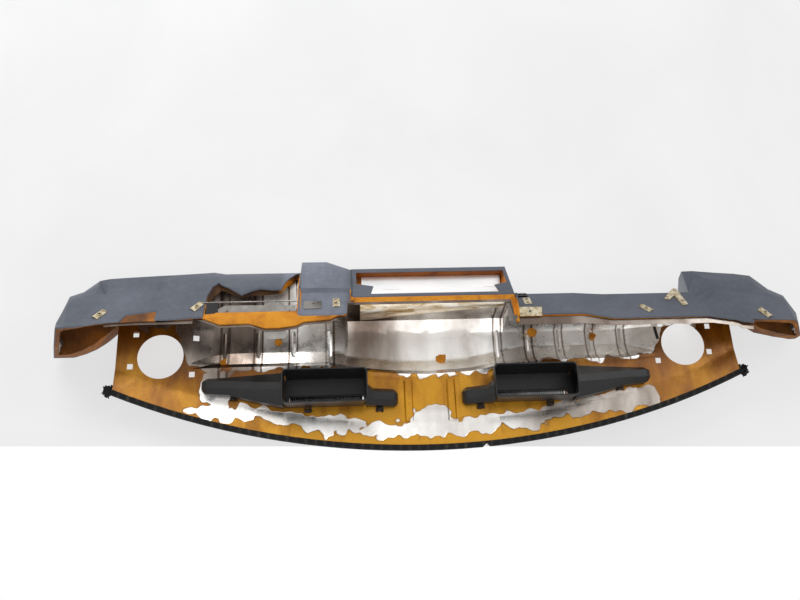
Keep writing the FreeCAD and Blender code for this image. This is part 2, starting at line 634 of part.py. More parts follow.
vanes_left = feature("duct_vanes_left", vane_strip(-1))
vanes_right = feature("duct_vanes_right", vane_strip(1))

# Small plastic tabs in front of the ducts
TABS = [(384, -25), (240, 2.5), (100, 4.5)]
tab_solids = []
for sign in (-1, 1):
    for x, y in TABS:
        tab = box(sign * x - 7, sign * x + 7, y, y + 9, -4, 0)
        stem = [Vector(sign * x + dx, y + 5 + dy, -8) for dx, dy in ((2, -2), (2, 2), (-2, 2), (-2, -2), (2, -2))]
        pin = Part.Face(Part.makePolygon(stem)).extrude(Vector(0, 0, 5))
        tab_solids.append(longest(tab.fuse(pin).cut([duct_left.Shape, duct_right.Shape])))
duct_clips = feature("duct_clips", Part.makeCompound(tab_solids))


# Plates and small pressings

def round_hole(x, y, bore):
    """Eight-sided outline of a small punched hole."""
    turns = [math.radians(22.5 + 45 * k) for k in range(8)]
    reach = bore / 2 / math.cos(math.radians(22.5))
    return [(x + reach * math.cos(a), y + reach * math.sin(a)) for a in turns]


def draw(sketch, outline):
    """Adds a closed line to a sketch, its corners joined."""
    first = sketch.GeometryCount
    count = len(outline)
    for i in range(count):
        sketch.addGeometry(Part.LineSegment(Vector(*outline[i], 0), Vector(*outline[(i + 1) % count], 0)), False)
    for i in range(count):
        sketch.addConstraint(Sketcher.Constraint("Coincident", first + i, 2, first + (i + 1) % count, 1))


def outline_body(label, outline, holes, thick, placement):
    """Plate padded from its outline; each hole is (x, y, diameter)."""
    body = doc.addObject("PartDesign::Body", label)
    sketch = body.newObject("Sketcher::SketchObject", label + "_outline")
    plane = [item for item in body.Origin.OriginFeatures if item.Role == "XY_Plane"][0]
    sketch.AttachmentSupport = [(plane, "")]
    sketch.MapMode = "FlatFace"
    draw(sketch, outline)
    for x, y, bore in holes:
        draw(sketch, round_hole(x, y, bore))
    pad = body.newObject("PartDesign::Pad", label + "_pad")
    pad.Profile = sketch
    pad.setExpression("Length", thick)
    sketch.Visibility = False
    body.Tip = pad
    body.Placement = placement
    return body


def flat(x, y, z, turn=0):
    return FreeCAD.Placement(Vector(x, y, z), FreeCAD.Rotation(Vector(0, 0, 1), turn))


def on_band(section, x, share, turn=0, sweep=0):
    """Placement on the fascia's lower band: x along the car's width, y up the slope, z out of the skin."""
    ya, za = section[-2]
    yb, zb = section[-1]
    length = math.hypot(yb - ya, zb - za)
    along = Vector(1, sweep, 0).normalize()
    out = along.cross(Vector(0, (ya - yb) / length, (za - zb) / length)).normalize()
    base = Vector(x, ya + (yb - ya) * share, za + (zb - za) * share)
    frame = FreeCAD.Rotation(along, out.cross(along), out, "ZXY")
    return FreeCAD.Placement(base, frame.multiply(FreeCAD.Rotation(Vector(0, 0, 1), turn)))


def rectangle(width, height):
    return [(-width / 2, -height / 2), (width / 2, -height / 2), (width / 2, height / 2),
            (-width / 2, height / 2)]


BORE = size("nut_bore")


def spring_nut(label, section, x, share, turn, sweep=0):
    """Folded spring-steel nut: a pierced plate with a raised collar and two turned ends."""
    length = size("nut_length")
    width = size("nut_width")
    body = outline_body(label, rectangle(width, length), [(0, 0, BORE)], "Sizes.nut_thick",
                        on_band(section, x, share, turn, sweep))
    plane = [item for item in body.Origin.OriginFeatures if item.Role == "XY_Plane"][0]
    raised = body.newObject("Sketcher::SketchObject", label + "_raised")
    raised.AttachmentSupport = [(plane, "")]
    raised.MapMode = "FlatFace"
    draw(raised, round_hole(0, 0, BORE))
    draw(raised, round_hole(0, 0, BORE + 3.4))
    for foot in (-length / 2, length / 2 - 1.2):
        draw(raised, [(-width / 2 + 2, foot), (width / 2 - 2, foot), (width / 2 - 2, foot + 1.2),
                      (-width / 2 + 2, foot + 1.2)])
    turned = body.newObject("PartDesign::Pad", label + "_raised_pad")
    turned.Profile = raised
    turned.setExpression("Length", "Sizes.nut_thick * 2.2")
    body.Tip = turned
    return body


NUTS = [
    ("spring_nut_left_outer", wrap(LEFT_NICHE, 9.2), -628, 0.65, -38, -0.059),
    ("spring_nut_left_inner", LEFT_PANEL, -447, 0.60, -38, -0.05),
    ("spring_nut_hump", HUMP, -180, 0.52, 0),
    ("spring_nut_right_inner", SHELF_FAR, 432, -0.1, 35),
    ("spring_nut_right_outer", wrap(RIGHT_HUMP, 9.9), 669, 0.70, 35, 0.11),
]
nuts = [spring_nut(*row) for row in NUTS]

crossmember = outline_body("cluster_crossmember",
                           [(-405, CROSS_FRONT), (-405, -174), (-392, -181), (-318, -180), (-309, -186),
                            (-285, -186), (-279, -179), (-259, -178), (-259, CROSS_FRONT)],
                           [(-268, -168, BORE), (-388, -168, BORE)],
                           "Sizes.metal_thick", flat(0, 0, FLANGE))
end_plate = outline_body("crossmember_end_plate", rectangle(34, 24), [(2, 3, BORE)],
                         "Sizes.metal_thick", on_band(HUMP, -226, 0.60))
ledge_tab = outline_body("ledge_tab", [(-316, -142), (-276, -142), (-276, -115), (-280, -112), (-312, -112),
                                       (-316, -115)], [], "Sizes.nut_thick", flat(0, 0, FLANGE))
square_plate = outline_body("square_hole_plate",
                            [(174, -163), (218, -162), (217, -144), (174, -144)], [(194, -154, BORE)],
                            "Sizes.nut_thick", flat(0, 0, LOW - size("nut_thick")))
two_hole_tab = outline_body("two_hole_tab", rectangle(15, 27), [(0, 7, BORE), (0, -7, BORE)],
                            "Sizes.nut_thick", on_band(SHELF, 199, -1.0))
corner_trim = outline_body("corner_trim", rectangle(20, 11), [(-5, 0, BORE), (4, 0, BORE)],
                           "Sizes.nut_thick * 3", on_band(SHELF, 193, -1.9))
V_SHAPE = [(7, 44), (-24, 4), (-15, -1), (0, 15), (4, -23), (16, -20), (14, 41)]
angle_bracket = outline_body("angle_bracket", V_SHAPE, [(9, -8, BORE)], "Sizes.nut_thick * 2",
                             on_band(SHELF_FAR, 505, -1.2))
pan_strip = outline_body("pan_strip", rectangle(6, 27), [], "Sizes.nut_thick",
                         flat(477, -135, -size("nut_thick"), -8))

rail = Part.makeCylinder(1.5, 190, Vector(-440, -193, -78), Vector(1, 0, 0))
shells = [dash_skin.Shape, foam_core.Shape, carrier_pan.Shape]


cluster_rail = feature("cluster_rail", longest(rail.cut(shells)))
block = box(-428, -405, -187, -158, FLANGE, FLANGE + 13)
cluster_block = feature("cluster_block", longest(block.cut(shells)))

# Bright plate on the floor of the centre opening, with two raised tabs
level = size("frame_level")
back_plate = outline_body("centre_back_plate", [(-129, -273), (162, -273), (162, -216), (-129, -216)], [],
                          "Sizes.nut_thick", flat(0, 0, level - size("nut_thick")))
tab_low = level - size("nut_thick") - 0.8
tabs = [box(-84, -50, -270, -244, tab_low, tab_low + 0.8), box(125, 158, -271, -246, tab_low, tab_low + 0.8)]
plate_tabs = feature("centre_plate_tabs", Part.makeCompound(tabs))

# Rolled stiffener on the carrier's rear wall at the centre, tapering to the right
ROLL = [(-134, -12, 17), (-52, -26, 14), (60, -44, 10), (150, -52, 8)]


def roll_section(x, top, bulge):
    low = -77
    wall = [(-188 + (z + 80) / 7.0, z) for z in (low, top)]
    steps = 6
    points = []
    for i in range(steps + 1):
        angle = math.pi * i / steps
        middle = (wall[0][0] + wall[1][0]) / 2, (wall[0][1] + wall[1][1]) / 2
        half = (wall[1][0] - wall[0][0]) / 2, (wall[1][1] - wall[0][1]) / 2
        points.append((middle[0] - half[0] * math.cos(angle) + bulge * math.sin(angle),
                       middle[1] - half[1] * math.cos(angle)))
    return [Vector(x, y, z) for y, z in points]


edge_roll = feature("pan_edge_roll", loft([roll_section(*row) for row in ROLL]))

strip = box(156, 164, -190, -141, -81, -79.8)
hanging_strip = feature("hanging_strip", longest(strip.cut(shells + [edge_roll.Shape])))
wire_points = [Vector(160, -143, -81.8), Vector(172, -141, -52), Vector(210, -131, 12)]
wire_radius = 0.8


def round_bar(points, bar_radius, sides):
    """Many-sided bar along a bent line."""
    rings = []
    for i, point in enumerate(points):
        along = (points[min(i + 1, len(points) - 1)] - points[max(i - 1, 0)]).normalize()
        across = along.cross(Vector(0, 1, 0)).normalize()
        third = along.cross(across)
        rings.append([point + across * (bar_radius * math.cos(2 * math.pi * k / sides))
                      + third * (bar_radius * math.sin(2 * math.pi * k / sides)) for k in range(sides)])
    return loft(rings)


wire = round_bar(wire_points, wire_radius, 8).cut([hanging_strip.Shape])
hanging_wire = feature("hanging_wire", longest(wire))

# Lumps of foam left on the carrier
LUMPS = [(220, -148, 20, 13), (346, -136, 19, 10), (-409, -98, 16, 9), (-300, -140, 20, 9), (30, -96, 20, 12)]
lumps = []
for x, y, z, r in LUMPS:
    rings = []
    for drop, share in ((0.75, 0.3), (0.45, 0.75), (0.1, 1.0), (-0.3, 0.9)):
        ring_points = []
        for k in range(7):
            angle = 2 * math.pi * k / 7
            reach_out = r * share * (1 + 0.18 * math.sin(3 * angle + x))
            ring_points.append(Vector(x + reach_out * math.cos(angle), y + reach_out * math.sin(angle),
                                      z - r * drop))
        rings.append(ring_points)
    lumps.append(longest(loft(rings).common(ribbed_cavity).cut([edge_roll.Shape])))
foam_remnants = feature("foam_remnants", Part.makeCompound(lumps))


# End brackets: bolted plates on the inner faces of the end walls

def end_bracket(label, side, x, slope, inward, outline, boss_length):
    """Plate on an end wall with a round boss along its bolt, so that the bolt seats square."""
    y, z = END_BOLTS[side]
    plate = loft([[Vector(x + step + slope * c, b, c) for b, c in outline]
                  for step in (0, inward * size("metal_thick"))])
    middle = x + slope * z + inward * size("metal_thick") / 2
    start = Vector(middle - boss_length / 2, y, z)
    boss = Part.makeCylinder(size("bolt_boss") / 2, boss_length, start, Vector(1, 0, 0))
    bolt = Part.makeCylinder(size("end_bolt") / 2, boss_length, start, Vector(1, 0, 0))
    print(label, "bolt", middle, y, z, boss_length)
    return feature(label, plate.fuse(boss).cut(bolt))


wall = size("foam_wall") + size("bracket_seat")
bracket_left = end_bracket("end_bracket_left", "left", size("left_end") + wall, size("left_lean"), 1,
                           [(-147, -6), (-122, -6), (-121, -34), (-126, -54), (-145, -54)], 6)
bracket_right = end_bracket("end_bracket_right", "right", size("right_end") - wall, size("right_lean"), -1,
                            [(-142, -6), (-124, -6), (-124, -48), (-132, -48), (-136, -40)], 9.4)

NODES = [dash_skin, foam_core, carrier_pan, windscreen_seal, duct_left, duct_right, vanes_left, vanes_right,
         duct_clips, crossmember, end_plate, cluster_rail, cluster_block, back_plate, plate_tabs] + nuts + [
         bracket_left, bracket_right, angle_bracket, two_hole_tab, square_plate, hanging_strip, hanging_wire,
         ledge_tab, pan_strip, foam_remnants, corner_trim, edge_roll]
doc.recompute()

for item in doc.Objects:
    if "Invalid" in item.State or "Error" in item.State:
        raise RuntimeError("failed object: " + item.Name)
os.makedirs("parts", exist_ok=True)
facets = 0
for item in NODES:
    shape = item.Shape
    if shape.isNull() or not shape.isValid():
        raise RuntimeError("bad shape: " + item.Label)
    mesh = shape.tessellate(0.5)
    facets += len(mesh[1])
    bounds = shape.optimalBoundingBox(False)
    print("%-24s solids %2d faces %4d volume %9.0f x %.1f..%.1f y %.1f..%.1f z %.1f..%.1f" % (
        item.Label, len(shape.Solids), len(shape.Faces), shape.Volume, bounds.XMin, bounds.XMax,
        bounds.YMin, bounds.YMax, bounds.ZMin, bounds.ZMax))
    shape.exportStep("parts/%s.step" % item.Label)
print("nodes", len(NODES), "facets", facets)
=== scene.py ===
import math

import bmesh
import bpy
import numpy as np
from mathutils import Matrix, Vector, noise


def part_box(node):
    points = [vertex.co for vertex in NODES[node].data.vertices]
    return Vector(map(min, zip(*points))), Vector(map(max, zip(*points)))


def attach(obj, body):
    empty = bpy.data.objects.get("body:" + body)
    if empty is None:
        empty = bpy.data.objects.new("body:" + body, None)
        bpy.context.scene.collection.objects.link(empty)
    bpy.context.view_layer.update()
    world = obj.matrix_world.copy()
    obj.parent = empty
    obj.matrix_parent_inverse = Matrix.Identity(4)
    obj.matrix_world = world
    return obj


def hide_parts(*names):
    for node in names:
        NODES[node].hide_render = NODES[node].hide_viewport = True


# A dashboard shell seen from below: slate vinyl over amber foam on a pressed aluminium carrier.
# +X is the car's right, +Y the windscreen and +Z up; outlines are in millimetres, meshes in metres.

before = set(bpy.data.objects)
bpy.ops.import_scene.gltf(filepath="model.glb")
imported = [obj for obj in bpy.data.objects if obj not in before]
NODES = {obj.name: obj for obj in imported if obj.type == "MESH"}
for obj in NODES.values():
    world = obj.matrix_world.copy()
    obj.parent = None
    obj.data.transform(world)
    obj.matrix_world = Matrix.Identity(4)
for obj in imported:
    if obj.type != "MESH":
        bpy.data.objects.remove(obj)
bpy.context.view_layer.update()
MM = 0.001

# The same lumps and threads at each run
noise.seed_set(7)

# The windscreen edge is one arc in plan
ARC_RADIUS = 1580.0
ARC_CENTRE = 87.0 - ARC_RADIUS


# Materials

def linear(code):
    """sRGB hex to a linear colour."""
    parts = [int(code[i:i + 2], 16) / 255 for i in (1, 3, 5)]
    return [c / 12.92 if c <= 0.04045 else ((c + 0.055) / 1.055) ** 2.4 for c in parts] + [1.0]


def add(tree, kind, links=None, inputs=None, stops=(), **settings):
    """Adds a node with its settings, input values, colour stops and the sockets that feed it."""
    node = tree.nodes.new(kind)
    for key, value in settings.items():
        setattr(node, key, value)
    for key, value in (inputs or {}).items():
        node.inputs[key].default_value = value
    for key, socket in (links or {}).items():
        tree.links.new(socket, node.inputs[key])
    for index, (position, code) in enumerate(stops):
        elements = node.color_ramp.elements
        element = elements[index] if index < 2 else elements.new(position)
        element.position = position
        element.color = linear(code)
    return node


def start_material(name):
    """A new material, its node tree, its shader and the place on the object that patterns read."""
    material = bpy.data.materials.new(name)
    material.use_nodes = True
    tree = material.node_tree
    shader = tree.nodes["Principled BSDF"]
    place = add(tree, "ShaderNodeTexCoord").outputs["Object"]
    return material, tree, shader, place


def per_metre(size_mm):
    """Pattern scale for features of a given size."""
    return 1.0 / (size_mm * MM)


def embossed_vinyl():
    """Calendered PVC skin over foam: slate blue with a soft sheen, faded and scuffed paler in patches.
    The leather grain is drawn at 3 mm, coarser than the real 1 mm, so that it shows."""
    material, tree, shader, place = start_material("embossed_vinyl")
    fading = add(tree, "ShaderNodeTexNoise", {"Vector": place},
                 {"Scale": per_metre(170), "Detail": 5.0, "Roughness": 0.6}).outputs["Fac"]
    dust = add(tree, "ShaderNodeTexNoise", {"Vector": place},
               {"Scale": per_metre(14), "Detail": 6.0, "Roughness": 0.75}).outputs["Fac"]
    base = add(tree, "ShaderNodeValToRGB", {"Fac": fading},
               stops=[(0.3, "#6A707E"), (0.5, "#7E8491"), (0.7, "#9197A5")]).outputs["Color"]
    spots = add(tree, "ShaderNodeValToRGB", {"Fac": dust},
                stops=[(0.3, "#5C616F"), (0.52, "#818694"), (0.75, "#AEB2BC")]).outputs["Color"]
    worn = add(tree, "ShaderNodeMix", {"A": base, "B": spots}, {"Factor": 0.3}, data_type="RGBA")
    across = add(tree, "ShaderNodeSeparateXYZ", {"Vector": place}).outputs["X"]
    length = add(tree, "ShaderNodeMapRange", {"Value": across}, {"From Min": -0.75, "From Max": 0.8})
    # The hump over the instruments is painted paler: a painted sheen for the light its faces catch. It runs
    # the whole depth, so it also shows as a paler band on the top
    zones_and_hump_sheen = add(tree, "ShaderNodeValToRGB", {"Fac": length.outputs["Result"]},
                stops=[(0.0, "#CBCBCB"), (0.296, "#CBCBCB"), (0.302, "#FFFFFF"), (0.376, "#F4F4F4"),
                       (0.386, "#C6C6C6"), (0.82, "#BEBEBE"), (1.0, "#B6B6B6")])
    colour = add(tree, "ShaderNodeMix", {"A": worn.outputs["Result"], "B": zones_and_hump_sheen.outputs["Color"]},
                 {"Factor": 1.0}, data_type="RGBA", blend_type="MULTIPLY")
    tree.links.new(colour.outputs["Result"], shader.inputs["Base Color"])
    rough = add(tree, "ShaderNodeMapRange", {"Value": dust},
                {"From Min": 0.3, "From Max": 0.7, "To Min": 0.46, "To Max": 0.62})
    tree.links.new(rough.outputs["Result"], shader.inputs["Roughness"])
    shader.inputs["Specular IOR Level"].default_value = 0.25
    grain = add(tree, "ShaderNodeTexVoronoi", {"Vector": place}, {"Scale": per_metre(3)})
    pebbles = add(tree, "ShaderNodeBump", {"Height": grain.outputs["Distance"]},
                  {"Strength": 0.3, "Distance": 0.3 * MM})
    waves = add(tree, "ShaderNodeTexNoise", {"Vector": place},
                {"Scale": per_metre(60), "Detail": 2.0, "Roughness": 0.5})
    sagging = add(tree, "ShaderNodeBump",
                  {"Height": waves.outputs["Fac"], "Normal": pebbles.outputs["Normal"]},
                  {"Strength": 0.35, "Distance": 4 * MM})
    tree.links.new(sagging.outputs["Normal"], shader.inputs["Normal"])
    return material


def aged_foam():
    """Moulded polyurethane foam with its skin torn off: matt amber with small cells, burnt brown in the
    wings, and painted near-black under the brow and at the top of the centre frame: painted shade, along
    with grime and the dark fold of vinyl under the torn brow."""
    material, tree, shader, place = start_material("aged_foam")
    sides = add(tree, "ShaderNodeSeparateXYZ", {"Vector": place}).outputs
    reach = add(tree, "ShaderNodeMath", {0: sides["X"]}, operation="ABSOLUTE").outputs["Value"]
    burnt = add(tree, "ShaderNodeMapRange", {"Value": reach},
                {"From Min": 0.46, "From Max": 0.56, "To Min": 0.12, "To Max": -0.2}).outputs["Result"]
    blotches = add(
        tree, "ShaderNodeTexNoise", {"Vector": place},
        {"Scale": per_metre(55), "Detail": 7.0, "Roughness": 0.68, "Distortion": 0.5}).outputs["Fac"]
    tone = add(tree, "ShaderNodeMath", {0: blotches, 1: burnt}, operation="ADD").outputs["Value"]
    colour = add(tree, "ShaderNodeValToRGB", {"Fac": tone},
                 stops=[(0.15, "#5A3412"), (0.34, "#86521C"), (0.48, "#B06A1A"), (0.6, "#E4921A"),
                        (0.8, "#F6A826")]).outputs["Color"]
    brow_start = add(
        tree, "ShaderNodeMapRange", {"Value": sides["X"]},
        {"From Min": -0.296, "From Max": -0.284, "To Min": 1.0, "To Max": 0.0}).outputs["Result"]
    brow_end = add(tree, "ShaderNodeMapRange", {"Value": sides["Y"]},
                   {"From Min": -0.2, "From Max": -0.19, "To Min": 0.85, "To Max": 0.0}).outputs["Result"]
    near_brow = add(tree, "ShaderNodeMath", {0: brow_start, 1: brow_end},
                    operation="MULTIPLY").outputs["Value"]
    frame_top = add(tree, "ShaderNodeMapRange", {"Value": sides["Y"]},
                    {"From Min": -0.262, "From Max": -0.256, "To Min": 0.6, "To Max": 0.0}).outputs["Result"]
    shadowed = add(tree, "ShaderNodeMath", {0: near_brow, 1: frame_top},
                   operation="MAXIMUM").outputs["Value"]
    not_wing = add(tree, "ShaderNodeMapRange", {"Value": reach},
                   {"From Min": 0.46, "From Max": 0.48, "To Min": 1.0, "To Max": 0.0}).outputs["Result"]
    # Painted shade with grime: under the brow and at the top of the centre frame, away from the wings, the
    # foam is mixed towards near-black
    shade_and_grime = add(tree, "ShaderNodeMath", {0: shadowed, 1: not_wing}, operation="MULTIPLY").outputs["Value"]
    shaded_and_soiled = add(tree, "ShaderNodeMix", {"Factor": shade_and_grime, "A": colour}, data_type="RGBA")
    shaded_and_soiled.inputs["B"].default_value = linear("#22232A")
    tree.links.new(shaded_and_soiled.outputs["Result"], shader.inputs["Base Color"])
    shader.inputs["Roughness"].default_value = 0.7
    shader.inputs["IOR"].default_value = 1.45
    cells = add(tree, "ShaderNodeTexNoise", {"Vector": place},
                {"Scale": per_metre(5), "Detail": 6.0, "Roughness": 0.75}).outputs["Fac"]
    crust = add(tree, "ShaderNodeBump", {"Height": cells}, {"Strength": 0.8, "Distance": 1.6 * MM})
    tree.links.new(crust.outputs["Normal"], shader.inputs["Normal"])
    return material


def pressed_aluminium():
    """Deep-drawn aluminium sheet, its bare metal painted bright and dull brown in patches and streaks:
    painted
    reflections and painted shade along with tarnish and brown stains. An amber film of adhesive is left on
    it:
    glossy, streaked and rimmed darker at its edge."""
    material, tree, shader, place = start_material("pressed_aluminium")
    film = add(tree, "ShaderNodeAttribute", attribute_name="film").outputs["Fac"]
    painted_light_and_stain = add(tree, "ShaderNodeAttribute", attribute_name="painted_light_and_stain").outputs["Fac"]
    age = add(tree, "ShaderNodeAttribute", attribute_name="age").outputs["Fac"]

    lobes = add(tree, "ShaderNodeTexNoise", {"Vector": place},
                {"Scale": per_metre(26), "Detail": 1.2, "Roughness": 0.45}).outputs["Fac"]
    shift = add(tree, "ShaderNodeMapRange", {"Value": lobes},
                {"From Min": 0.3, "From Max": 0.7, "To Min": -8.0, "To Max": 8.0}).outputs["Result"]
    level = add(tree, "ShaderNodeMath", {0: film, 1: shift}, operation="ADD").outputs["Value"]
    cover = add(tree, "ShaderNodeMapRange", {"Value": level},
                {"From Min": -0.8, "From Max": 0.8}).outputs["Result"]
    rim = add(tree, "ShaderNodeMapRange", {"Value": level},
              {"From Min": 0.0, "From Max": 3.5, "To Min": 0.55, "To Max": 0.0}).outputs["Result"]

    stretched_place = add(tree, "ShaderNodeMapping", {"Vector": place}, {"Scale": (1.0, 0.3, 0.5)}).outputs["Vector"]
    clouds = add(tree, "ShaderNodeTexNoise", {"Vector": stretched_place},
                 {"Scale": per_metre(95), "Detail": 4.0, "Roughness": 0.55, "Distortion": 0.2}).outputs["Fac"]
    # Painted reflections with tarnish: stretched streaks that make the bare metal brighter and darker
    tarnish_and_reflection = add(tree, "ShaderNodeMapRange", {"Value": clouds},
                 {"From Min": 0.25, "From Max": 0.75, "To Min": -0.3, "To Max": 0.3}).outputs["Result"]
    # Painted light on the bare metal: a per-point attribute makes it bright where it stands for reflections
    # and dull where it stands for shade and brown stains
    tone = add(tree, "ShaderNodeMath", {0: painted_light_and_stain, 1: tarnish_and_reflection}, operation="ADD").outputs["Value"]
    bare = add(tree, "ShaderNodeValToRGB", {"Fac": tone},
               stops=[(0.0, "#4A3F38"), (0.25, "#6E6158"), (0.5, "#A0978F"), (0.75, "#D2CDC7"),
                      (1.0, "#F2F0ED")]).outputs["Color"]

    streaks = add(tree, "ShaderNodeTexNoise", {"Vector": stretched_place},
                  {"Scale": per_metre(50), "Detail": 5.0, "Roughness": 0.6, "Distortion": 0.4}).outputs["Fac"]
    mottle = add(tree, "ShaderNodeMapRange", {"Value": streaks},
                 {"From Min": 0.3, "From Max": 0.7, "To Min": -0.26, "To Max": 0.26}).outputs["Result"]
    ripeness = add(tree, "ShaderNodeMath", {0: age, 1: mottle}, operation="ADD").outputs["Value"]
    amber = add(tree, "ShaderNodeValToRGB", {"Fac": ripeness},
                stops=[(0.0, "#482404"), (0.3, "#6A3C06"), (0.55, "#8E5508"), (0.8, "#B4780E"),
                       (1.0, "#D6981C")]).outputs["Color"]
    rimmed = add(tree, "ShaderNodeMix", {"Factor": rim, "A": amber}, data_type="RGBA")
    rimmed.inputs["B"].default_value = linear("#6B3E0E")
    colour = add(tree, "ShaderNodeMix", {"Factor": cover, "A": bare, "B": rimmed.outputs["Result"]},
                 data_type="RGBA").outputs["Result"]
    tree.links.new(colour, shader.inputs["Base Color"])

    metal = add(tree, "ShaderNodeMapRange", {"Value": cover}, {"To Min": 1.0, "To Max": 0.35})
    tree.links.new(metal.outputs["Result"], shader.inputs["Metallic"])
    scuffs = add(tree, "ShaderNodeTexNoise", {"Vector": place},
                 {"Scale": per_metre(30), "Detail": 7.0, "Roughness": 0.72}).outputs["Fac"]
    rubbed = add(tree, "ShaderNodeMapRange", {"Value": scuffs},
                 {"From Min": 0.3, "From Max": 0.7, "To Min": 0.2, "To Max": 0.4})
    tree.links.new(rubbed.outputs["Result"], shader.inputs["Roughness"])
    ripples = add(tree, "ShaderNodeTexNoise", {"Vector": place},
                  {"Scale": per_metre(55), "Detail": 2.0, "Roughness": 0.4}).outputs["Fac"]
    dents = add(tree, "ShaderNodeBump", {"Height": ripples}, {"Strength": 0.4, "Distance": 1.8 * MM})
    raised = add(tree, "ShaderNodeBump", {"Height": cover, "Normal": dents.outputs["Normal"]},
                 {"Strength": 0.6, "Distance": 0.4 * MM})
    tree.links.new(raised.outputs["Normal"], shader.inputs["Normal"])
    return material


def stained_roll():
    """Bare aluminium of the rear wall's rolled edge: dull, with brown run marks along it, partly dirt and
    partly a painted reflection of the amber film and foam.
    """
    material, tree, shader, place = start_material("stained_aluminium")
    drawn = add(tree, "ShaderNodeMapping", {"Vector": place}, {"Scale": (0.25, 1.0, 1.0)}).outputs["Vector"]
    runs_and_reflections = add(tree, "ShaderNodeTexNoise", {"Vector": drawn},
               {"Scale": per_metre(14), "Detail": 7.0, "Roughness": 0.7, "Distortion": 0.6}).outputs["Fac"]
    # The brown is partly run marks and partly a painted reflection of the amber film and foam nearby
    colour = add(tree, "ShaderNodeValToRGB", {"Fac": runs_and_reflections},
                 stops=[(0.28, "#5A4020"), (0.38, "#A88850"), (0.5, "#DCCFB8"), (0.66, "#F6F2EA")])
    tree.links.new(colour.outputs["Color"], shader.inputs["Base Color"])
    shader.inputs["Metallic"].default_value = 0.9
    shader.inputs["Roughness"].default_value = 0.34
    return material


def extruded_rubber():
    """Extruded EPDM gripping strip: black and dry, cross-ribbed every 9 mm, paler in patches on the raised
    ribs.
    """
    material, tree, shader, place = start_material("extruded_rubber")
    pale_patches = add(tree, "ShaderNodeTexNoise", {"Vector": place},
                {"Scale": per_metre(20), "Detail": 5.0, "Roughness": 0.65}).outputs["Fac"]
    ribs = add(tree, "ShaderNodeTexWave", {"Vector": place},
               {"Scale": per_metre(9) / 20 * math.pi, "Distortion": 1.5}, bands_direction="X").outputs["Fac"]
    # Paler where the patch noise and the raised ribs meet
    both = add(tree, "ShaderNodeMath", {0: pale_patches, 1: ribs}, operation="MULTIPLY").outputs["Value"]
    colour = add(tree, "ShaderNodeValToRGB", {"Fac": both},
                 stops=[(0.1, "#0C0C0D"), (0.4, "#191818"), (0.7, "#4A443A")])
    tree.links.new(colour.outputs["Color"], shader.inputs["Base Color"])
    shader.inputs["Roughness"].default_value = 0.65
    shader.inputs["Specular IOR Level"].default_value = 0.2
    relief = add(tree, "ShaderNodeBump", {"Height": ribs}, {"Strength": 0.6, "Distance": 0.8 * MM})
    tree.links.new(relief.outputs["Normal"], shader.inputs["Normal"])
    return material


def moulded_polypropylene():
    """Injection-moulded polypropylene: near black and satin, with light dust and pale scuffs."""
    material, tree, shader, place = start_material("moulded_polypropylene")
    dust = add(tree, "ShaderNodeTexNoise", {"Vector": place},
               {"Scale": per_metre(40), "Detail": 8.0, "Roughness": 0.7}).outputs["Fac"]
    colour = add(tree, "ShaderNodeValToRGB", {"Fac": dust},
                 stops=[(0.3, "#151516"), (0.55, "#1E1E1F"), (0.8, "#3A3938")])
    tree.links.new(colour.outputs["Color"], shader.inputs["Base Color"])
    shader.inputs["Specular IOR Level"].default_value = 0.35
    rough = add(tree, "ShaderNodeMapRange", {"Value": dust},
                {"From Min": 0.3, "From Max": 0.7, "To Min": 0.3, "To Max": 0.5})
    tree.links.new(rough.outputs["Result"], shader.inputs["Roughness"])
    texture = add(tree, "ShaderNodeTexNoise", {"Vector": place},
                  {"Scale": per_metre(3), "Detail": 3.0, "Roughness": 0.6}).outputs["Fac"]
    matt = add(tree, "ShaderNodeBump", {"Height": texture}, {"Strength": 0.35, "Distance": 0.3 * MM})
    tree.links.new(matt.outputs["Normal"], shader.inputs["Normal"])
    return material


def rubber_clump():
    """Old sealing compound squeezed out round the clips: black-brown, crumbly."""
    material, tree, shader, place = start_material("sealing_compound")
    crumbs = add(tree, "ShaderNodeTexNoise", {"Vector": place},
                 {"Scale": per_metre(7), "Detail": 6.0, "Roughness": 0.75}).outputs["Fac"]
    colour = add(tree, "ShaderNodeValToRGB", {"Fac": crumbs},
                 stops=[(0.35, "#1B1714"), (0.55, "#33271C"), (0.7, "#7A4A1C")])
    tree.links.new(colour.outputs["Color"], shader.inputs["Base Color"])
    shader.inputs["Roughness"].default_value = 0.75
    relief = add(tree, "ShaderNodeBump", {"Height": crumbs}, {"Strength": 0.8, "Distance": 1.5 * MM})
    tree.links.new(relief.outputs["Normal"], shader.inputs["Normal"])
    return material


def passivated_zinc():
    """Yellow-passivated zinc on spring steel: dull straw with brown rubbed spots."""
    material, tree, shader, place = start_material("passivated_zinc")
    spots = add(tree, "ShaderNodeTexNoise", {"Vector": place},
                {"Scale": per_metre(7), "Detail": 4.0, "Roughness": 0.6}).outputs["Fac"]
    colour = add(tree, "ShaderNodeValToRGB", {"Fac": spots},
                 stops=[(0.3, "#7C6C4C"), (0.48, "#B9AB8B"), (0.7, "#DDD5C0")])
    tree.links.new(colour.outputs["Color"], shader.inputs["Base Color"])
    shader.inputs["Metallic"].default_value = 0.6
    shader.inputs["Roughness"].default_value = 0.4
    return material


